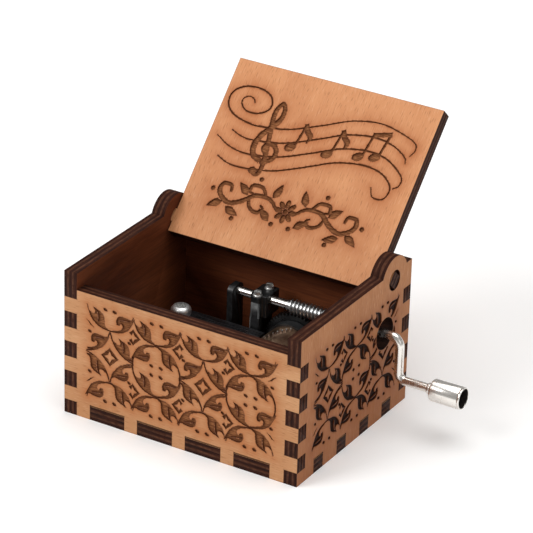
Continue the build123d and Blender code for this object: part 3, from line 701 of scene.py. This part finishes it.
def panel(node, body, origin, u, v, sides, materials):
    """A wall or lid with engraved sides in place of its plain CAD node. sides lists (origin, u, v, art)."""
    bm = bmesh.new()
    bm.from_mesh(frame["nodes"][node].data)
    for face in bm.faces:
        face.normal_update()
    bmesh.ops.remove_doubles(bm, verts=bm.verts, dist=WELD)
    bm.verts.layers.float.new("scorch")
    bm.verts.layers.float.new("burn")
    grain = bm.verts.layers.float_vector.new("grain")
    normal = u.cross(v)
    for face in bm.faces:
        facing = face.normal.dot(normal)
        face.material_index = BACK_FACE if facing < -FACES_ALONG else EDGE
        face.smooth = True
        # Painted shade: the round side of the crank hole takes the engraved floor's slot, the near-black
        # floor on the side walls, so the hole looks dark inside.
        if in_crank_hole(node, face):
            face.material_index = FLOOR
    for where, across, up, art in sides:
        engrave(bm, where, across, up, art)
    for vert in bm.verts:
        offset = vert.co - origin
        vert[grain] = Vector((offset.dot(u), offset.dot(v), -offset.dot(normal)))
    bm.normal_update()
    add_piece(node + "_engraved", bm, materials, body, node)


FLOOR_MATERIAL = engraved("engraved_floor", rgb(170, 112, 72), rgb(92, 54, 32))
# Painted shade: a near-black copy of the engraved floor for the side walls, whose engravings lie in shade;
# they are cut no deeper.
SHADED_FLOOR = engraved("engraved_floor_shaded", rgb(64, 38, 26), rgb(26, 15, 11))
CHAR = char()
CUT_EDGE = cut_edge()
# The third colour of each veneer is both its smoke near the engraving and its painted shade at the foot.
PALE, TAN, SMOKE_AND_SHADE = rgb(206, 157, 115), rgb(180, 128, 87), rgb(166, 96, 50)
ALONG = veneer("veneer_along", True, PALE, TAN, SMOKE_AND_SHADE, 0.1)
# Painted shade: the side walls' veneer is a darker copy of the front's for the shade on the sides, and it
# darkens by half towards its foot.
SHADED_UPRIGHT = veneer("veneer_upright_shaded", False, rgb(187, 128, 84), rgb(162, 104, 63), rgb(138, 78, 40), 0.5)
LID_FACE = veneer("veneer_lid", False, rgb(216, 154, 108), rgb(190, 126, 84), rgb(164, 94, 52))
SHADED_INSIDE = shaded_inside_face()

# The walls' pattern, in millimetres: its middle's height and its first column's place
MIDDLE = 18.3
WALL_WIDTH = (RIGHT - LEFT) / MM
FIRST = (WALL_WIDTH - 3 * PITCH) / 2
SIDE_FIRST = 13.1

front_art = lattice(FIRST, MIDDLE, ("star", "ring", "star", "ring"))
side_art = lattice(SIDE_FIRST, MIDDLE, ("star", "ring", "star"))
crank_side_art = lattice(SIDE_FIRST, MIDDLE, ("star", "ring", "star"), CRANK_HOLE)

wall_materials = [ALONG, FLOOR_MATERIAL, CHAR, CUT_EDGE, SHADED_INSIDE]
side_materials = [SHADED_UPRIGHT, SHADED_FLOOR, CHAR, CUT_EDGE, SHADED_INSIDE]

corner = Vector((LEFT, FRONT, 0))
panel("front_wall", "box", corner, X, Z, [(corner, X, Z, front_art)], wall_materials)
corner = Vector((RIGHT, BACK, 0))
panel("back_wall", "box", corner, -X, Z, [(corner, -X, Z, front_art)], wall_materials)
corner = Vector((RIGHT, FRONT, 0))
panel("right_wall", "box", corner, Y, Z, [(corner, Y, Z, crank_side_art)], side_materials)
corner = Vector((LEFT, BACK, 0))
panel("left_wall", "box", corner, -Y, Z, [(corner, -Y, Z, side_art)], side_materials)

# The lid's axes as it stands open: up its length, and out of the face that looks forwards
LID_UP = Vector((0, sin(LID_LEAN), cos(LID_LEAN)))
LID_OUT = Vector((0, -cos(LID_LEAN), sin(LID_LEAN)))
LID_HALF = 28.25
LID_MIDDLE = 19.0
inner_corner = LID_PIVOT + LID_OUT * PLY / 2 - X * LID_HALF * MM
outer_corner = LID_PIVOT - LID_OUT * PLY / 2 + X * LID_HALF * MM
inner_art = (staff() + clef() + notes() + ornament((27.6, 8.2)), [])
outer_art = lattice(LID_HALF - 1.5 * PITCH, LID_MIDDLE, ("ring", "star", "ring", "star"))
panel(
    "lid",
    "lid",
    inner_corner,
    X,
    LID_UP,
    [(inner_corner, X, LID_UP, inner_art), (outer_corner, -X, LID_UP, outer_art)],
    [LID_FACE, FLOOR_MATERIAL, CHAR, CUT_EDGE, LID_FACE],
)

# ------------------------------------------------------------------ metal and plastic


def chrome(name, tint, rough):
    """Bright metal with faint smears."""
    s = Shader(name, Metallic=1.0, Base_Color=tint)
    smears = s.noise(s.stretched(s.object_coords(), 380, 380, 380), detail=4)
    s.links.new(s.ramp(smears, (0.3, rough * 0.8), (0.75, rough * 1.4)), s.out.inputs["Roughness"])
    s.bump(s.noise(s.object_coords(), 900), 0.000006, 0.25)
    return s.material


def dark_bore():
    """The inside of the knob's open end: darker, duller metal than the chrome outside, mottled."""
    s = Shader("dark_bore", Metallic=0.6, Roughness=0.5)
    mottle = s.noise(s.object_coords(), 1600, 3)
    s.links.new(s.mix(mottle, rgb(22, 17, 15), rgb(62, 54, 50)), s.out.inputs["Base Color"])
    s.bump(mottle, 0.00003, 0.5)
    return s.material


def casting():
    """Black paint over a rough zinc casting, worn to grey in places."""
    s = Shader("black_casting", Specular_IOR_Level=0.6)
    coords = s.object_coords()
    grit = s.noise(coords, 5200, 3)
    wear = s.noise(coords, 700, 4)
    colour = s.mix(s.ramp(wear, (0.4, 0.0), (0.72, 1.0)), rgb(15, 16, 17), rgb(40, 41, 42))
    s.links.new(colour, s.out.inputs["Base Color"])
    s.links.new(s.ramp(wear, (0.3, 0.36), (0.7, 0.6)), s.out.inputs["Roughness"])
    s.bump(grit, 0.00003, 0.5)
    return s.material


def comb_steel():
    """Ground spring steel, with the grinding marks along the teeth, and much darker than bare steel: a
    painted reflection of the dark inside of the box.
    """
    s = Shader("comb_steel", Metallic=1.0)
    coords = s.object_coords()
    marks = s.noise(s.stretched(coords, 160, 9000, 160), detail=3)
    blotch = s.noise(coords, 420, 3)
    # Painted reflection: dark greys in place of bright steel, for the dark inside of the box that the comb
    # reflects.
    colour = s.mix(s.ramp(marks, (0.3, 0.0), (0.7, 1.0)), rgb(58, 58, 62), rgb(104, 103, 106))
    colour = s.mix(s.ramp(blotch, (0.45, 0.0), (0.7, 0.5)), colour, rgb(74, 66, 60))
    s.links.new(colour, s.out.inputs["Base Color"])
    s.links.new(s.ramp(marks, (0.3, 0.3), (0.7, 0.45)), s.out.inputs["Roughness"])
    s.bump(marks, 0.00003, 0.5)
    return s.material


def drum_metal():
    """Dull nickelled brass, tinted brown in patches as a painted reflection of the wood round it."""
    s = Shader("drum_metal", Metallic=1.0)
    coords = s.object_coords()
    marks = s.noise(s.stretched(coords, 140, 5000, 140), detail=2)
    tint_patches = s.noise(coords, 260, 4)
    # Painted reflection: brown colours for the wood that the drum reflects.
    colour = s.mix(s.ramp(tint_patches, (0.35, 0.0), (0.65, 1.0)), rgb(120, 90, 72), rgb(170, 140, 114))
    s.links.new(colour, s.out.inputs["Base Color"])
    s.links.new(s.ramp(tint_patches, (0.3, 0.3), (0.7, 0.42)), s.out.inputs["Roughness"])
    s.bump(marks, 0.0000015, 0.2)
    return s.material


def black_plastic():
    """The worm wheel's moulded plastic."""
    s = Shader("black_plastic", Specular_IOR_Level=0.6)
    coords = s.object_coords()
    flow = s.noise(coords, 600, 4)
    s.links.new(s.mix(flow, rgb(16, 16, 17), rgb(34, 34, 34)), s.out.inputs["Base Color"])
    s.links.new(s.ramp(flow, (0.3, 0.22), (0.7, 0.38)), s.out.inputs["Roughness"])
    s.bump(s.noise(coords, 3000), 0.00002, 0.4)
    return s.material


def lead():
    """The soft weights under the comb."""
    s = Shader("lead", Metallic=1.0, Roughness=0.6)
    dents = s.noise(s.object_coords(), 1500, 3)
    s.links.new(s.mix(dents, rgb(70, 72, 78), rgb(120, 122, 128)), s.out.inputs["Base Color"])
    s.bump(dents, 0.00006, 0.6)
    return s.material


def floor_panel_wood():
    """Plain wood for the floor panel's two faces."""
    s = Shader("floor_panel", Roughness=0.6, Specular_IOR_Level=0.25)
    coords = s.object_coords()
    fibres = s.noise(s.stretched(coords, 130, 2400, 2400), detail=3)
    colour = s.mix(s.ramp(fibres, (0.35, 0.0), (0.65, 1.0)), rgb(150, 104, 72), rgb(186, 140, 102))
    s.links.new(colour, s.out.inputs["Base Color"])
    s.bump(fibres, 0.00006, 0.5)
    return s.material


CHROME = chrome("chrome", rgb(236, 232, 226), 0.23)
PLATED = chrome("plated", rgb(240, 240, 238), 0.42)
SCREW_STEEL = chrome("screw_steel", rgb(206, 206, 206), 0.3)
DARK_BORE = dark_bore()
CASTING = casting()
BLACK = black_plastic()

finish_of = {
    "drum_front_cap": CASTING,
    "drum_rear_flange": CASTING,
    "comb": comb_steel(),
    "comb_screws": PLATED,
    "comb_weights": lead(),
    "drum_sleeve": drum_metal(),
    "drum_pins": SCREW_STEEL,
    "drum_arbor": SCREW_STEEL,
    "worm_wheel": BLACK,
    "worm": SCREW_STEEL,
    "mounting_screws": SCREW_STEEL,
    "bracket_screws": SCREW_STEEL,
    "bearing_screws": PLATED,
    "knob_retainer": CHROME,
}
for node, material in finish_of.items():
    mesh = frame["nodes"][node].data
    mesh.materials.clear()
    mesh.materials.append(material)

# ------------------------------------------------------------------ crank and knob, in millimetres

WIRE_RADIUS = 1.1
WIRE_HOLE = 1.15
WIRE_CHAMFER = 0.25
CHAMFERED = 0.8
ARM_X = 36.2
SHAFT_BEND = 2.4
HANDLE_BEND = 1.8
BEND_STEPS = 20
AROUND = 64
KNOB_HUB = 5.4
KNOB_WALL = 0.35
KNOB_ROUND = 0.3
GROOVE = 0.06
LIP_OUTER = 0.16
LIP_INNER = 0.12
STOP_ROUND = 0.3
STOP_EDGE = 0.35


def ring(bm, centre, radius, across, up):
    """Vertices round a circle with two axes."""
    turns = [2 * pi * i / AROUND for i in range(AROUND)]
    return [bm.verts.new(centre + radius * (cos(turn) * across + sin(turn) * up)) for turn in turns]


def skin(bm, a, b, material=0):
    """Smooth faces between two rings of vertices."""
    for i in range(AROUND):
        j = (i + 1) % AROUND
        face = bm.faces.new((a[i], a[j], b[j], b[i]))
        face.smooth = True
        face.material_index = material


def crank():
    """The bent wire: shaft, rounded bend, arm, rounded bend and handle."""
    low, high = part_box("crank_wire")
    shaft_bend = SHAFT_BEND * MM
    handle_bend = HANDLE_BEND * MM
    path = []

    def straight(x, z):
        path.append((Vector((x, CRANK_PIVOT.y, z)), X))

    def bend(x, z, radius, start, end):
        turn = -1 if end < start else 1
        for i in range(BEND_STEPS + 1):
            a = radians(start + (end - start) * i / BEND_STEPS)
            place = Vector((x + radius * cos(a), CRANK_PIVOT.y, z + radius * sin(a)))
            path.append((place, Vector((-sin(a) * turn, 0, cos(a) * turn))))

    for x in (low.x, low.x + WIRE_CHAMFER * MM, 0):
        straight(x, CRANK_PIVOT.z)
    bend(ARM_X * MM - shaft_bend, CRANK_PIVOT.z - shaft_bend, shaft_bend, 90, 0)
    bend(ARM_X * MM + handle_bend, KNOB_PIVOT.z + handle_bend, handle_bend, 180, 270)
    for x in (high.x - WIRE_CHAMFER * MM, high.x):
        straight(x, KNOB_PIVOT.z)
    bm = bmesh.new()
    rows = []
    for k, (place, along) in enumerate(path):
        narrowing = CHAMFERED if k in (0, len(path) - 1) else 1
        rows.append(ring(bm, place, (high.y - low.y) / 2 * narrowing, Y, along.cross(Y)))
    for a, b in zip(rows, rows[1:]):
        skin(bm, a, b)
    for end in (rows[0][::-1], rows[-1]):
        bm.faces.new(end).smooth = True
    bmesh.ops.recalc_face_normals(bm, faces=bm.faces)
    add_piece("crank_wire_bent", bm, [CHROME], "crank", "crank_wire")


def turned(name, outside, inside, materials, body, node):
    """A turned part round the handle, from its profile in millimetres as (x, radius): its outside, then
    its inside, which takes the second material."""
    centre = Vector((0, KNOB_PIVOT.y, KNOB_PIVOT.z))
    bm = bmesh.new()
    rows = [ring(bm, centre + x * MM * X, radius * MM, Y, Z) for x, radius in outside + inside]
    for k, (a, b) in enumerate(zip(rows, rows[1:] + rows[:1])):
        skin(bm, a, b, int(k >= len(outside)))
    bmesh.ops.recalc_face_normals(bm, faces=bm.faces)
    add_piece(name, bm, materials, body, node)


def rounded(x, radius, size, start, end, steps=6):
    """Points round a turned edge, with its centre and its angles in degrees."""
    angles = [radians(start + (end - start) * i / steps) for i in range(steps + 1)]
    return [(x + size * cos(a), radius + size * sin(a)) for a in angles]


def knob():
    """A plain cylinder with a fine groove near its lip, and an open end."""
    low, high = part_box("crank_knob")
    start = low.x / MM
    end = high.x / MM
    radius = (high.z - low.z) / MM / 2
    bore = radius - KNOB_WALL
    hub = start + KNOB_HUB
    outside = [
        (start, WIRE_HOLE),
        *rounded(start + KNOB_ROUND, radius - KNOB_ROUND, KNOB_ROUND, 180, 90),
        (start + 2 * KNOB_ROUND, radius),
        (end - 0.7, radius),
        (end - 0.6, radius - GROOVE),
        (end - 0.5, radius),
        *rounded(end - LIP_OUTER, radius - LIP_OUTER, LIP_OUTER, 90, 0, 4),
        *rounded(end - LIP_INNER, bore + LIP_INNER, LIP_INNER, 0, -90, 3)[:-1],
    ]
    inside = [
        (end - LIP_INNER, bore),
        (hub + 0.3, bore),
        (hub + 0.1, bore - 0.2),
        (hub, bore - 0.5),
        (hub, WIRE_HOLE),
    ]
    turned("crank_knob_turned", outside, inside, [CHROME, DARK_BORE], "knob", "crank_knob")


def stop():
    """The rounded collar on the handle that keeps the knob off the bend."""
    low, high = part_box("knob_collar")
    start = low.x / MM
    end = high.x / MM
    outside = [
        (start, WIRE_RADIUS),
        *rounded(start + STOP_EDGE, WIRE_RADIUS, STOP_ROUND, 180, 90),
        *rounded(end - STOP_EDGE, WIRE_RADIUS, STOP_ROUND, 90, 0),
        (end, WIRE_RADIUS),
    ]
    turned("knob_stop", outside, [], [CHROME], "crank", "knob_collar")


crank()
knob()
stop()

# ------------------------------------------------------------------ castings

CAST_EDGE = radians(40)
SOFT_EDGES = {
    "movement_bed": 0.2,
    "end_bracket": 0.22,
    "bearing_block": 0.16,
    "bearing_cap": 0.16,
    "drum_bracket": 0.2,
}


def softened(node, width):
    """A casting with its sharp edges rounded, as paint and tumbling leave them."""
    bm = bmesh.new()
    bm.from_mesh(frame["nodes"][node].data)
    bmesh.ops.remove_doubles(bm, verts=bm.verts, dist=WELD)
    bmesh.ops.dissolve_limit(bm, angle_limit=radians(1), verts=bm.verts, edges=bm.edges)
    sharp = [e for e in bm.edges if len(e.link_faces) == 2 and e.calc_face_angle() > CAST_EDGE]
    rounds = bmesh.ops.bevel(bm, geom=sharp, offset=width, segments=2, affect="EDGES", clamp_overlap=True)
    for face in rounds["faces"]:
        face.smooth = True
    add_piece(node + "_cast", bm, [CASTING], "box", node)


for node, width in SOFT_EDGES.items():
    softened(node, width * MM)

# ------------------------------------------------------------------ floor panel


def floor_panel():
    """The floor panel, with its cut sides in the edge's finish."""
    bm = bmesh.new()
    bm.from_mesh(frame["nodes"]["bottom_panel"].data)
    bmesh.ops.remove_doubles(bm, verts=bm.verts, dist=WELD)
    grain = bm.verts.layers.float_vector.new("grain")
    for vert in bm.verts:
        vert[grain] = vert.co
    for face in bm.faces:
        face.material_index = 0 if abs(face.normal.z) > 0.9 else 1
        face.smooth = True
    add_piece("floor_panel", bm, [floor_panel_wood(), CUT_EDGE], "box", "bottom_panel")


floor_panel()

# ------------------------------------------------------------------ camera, floor and lights

AZIMUTH, ELEVATION, ROLL = radians(30.44), radians(26.47), radians(1.7)
LOOK_AT = Vector((2.0, 9.1, 33.6)) * MM
CAMERA_DISTANCE = 0.7588
LENS = 217.3

forward = Vector((-sin(AZIMUTH) * cos(ELEVATION), cos(AZIMUTH) * cos(ELEVATION), -sin(ELEVATION)))
level = Vector((cos(AZIMUTH), sin(AZIMUTH), 0))
right = level * cos(ROLL) + level.cross(forward) * sin(ROLL)
up = right.cross(forward)
camera_data = bpy.data.cameras.new("camera")
camera_data.lens = LENS
camera_data.sensor_width = 36
camera_data.clip_start = 0.01
camera = bpy.data.objects.new("camera", camera_data)
bpy.context.scene.collection.objects.link(camera)
camera.matrix_world = Matrix.Translation(LOOK_AT - forward * CAMERA_DISTANCE) @ Matrix(
    (right, up, -forward)
).transposed().to_4x4()
bpy.context.scene.camera = camera

GROUND = 4.0
corners = [(-GROUND, -GROUND, 0), (GROUND, -GROUND, 0), (GROUND, GROUND, 0), (-GROUND, GROUND, 0)]
floor_mesh = bpy.data.meshes.new("ground")
floor_mesh.from_pydata(corners, [], [(0, 1, 2, 3)])
ground = bpy.data.objects.new("ground", floor_mesh)
bpy.context.scene.collection.objects.link(ground)
plain_floor = Shader(
    "ground",
    Base_Color=(0.97, 0.97, 0.965, 1),
    Roughness=0.9,
    Emission_Color=(1, 0.99, 0.98, 1),
    Emission_Strength=0.1,
)
floor_mesh.materials.append(plain_floor.material)


def area_light(name, place, aim, size, power):
    """A rectangular light at a place, turned towards its aim."""
    data = bpy.data.lights.new(name, "AREA")
    data.shape = "RECTANGLE"
    data.size, data.size_y = size
    data.energy = power
    light = bpy.data.objects.new(name, data)
    bpy.context.scene.collection.objects.link(light)
    light.location = place
    light.rotation_euler = (Vector(aim) - Vector(place)).to_track_quat("-Z", "Y").to_euler()


CENTRE = (0, 0, 0.02)
area_light("key", (-0.55, -0.75, 0.75), CENTRE, (0.6, 0.5), 6.9)
area_light("top", (0.1, 0.1, 1.0), CENTRE, (0.9, 0.9), 6.2)
area_light("fill", (0.9, -0.35, 0.45), CENTRE, (0.5, 0.5), 0.6)

world = bpy.data.worlds.new("studio")
bpy.context.scene.world = world
world.use_nodes = True
world.node_tree.nodes["Background"].inputs["Color"].default_value = (1.0, 0.985, 0.97, 1)
world.node_tree.nodes["Background"].inputs["Strength"].default_value = 0.34
bpy.context.scene.view_settings.view_transform = "Standard"
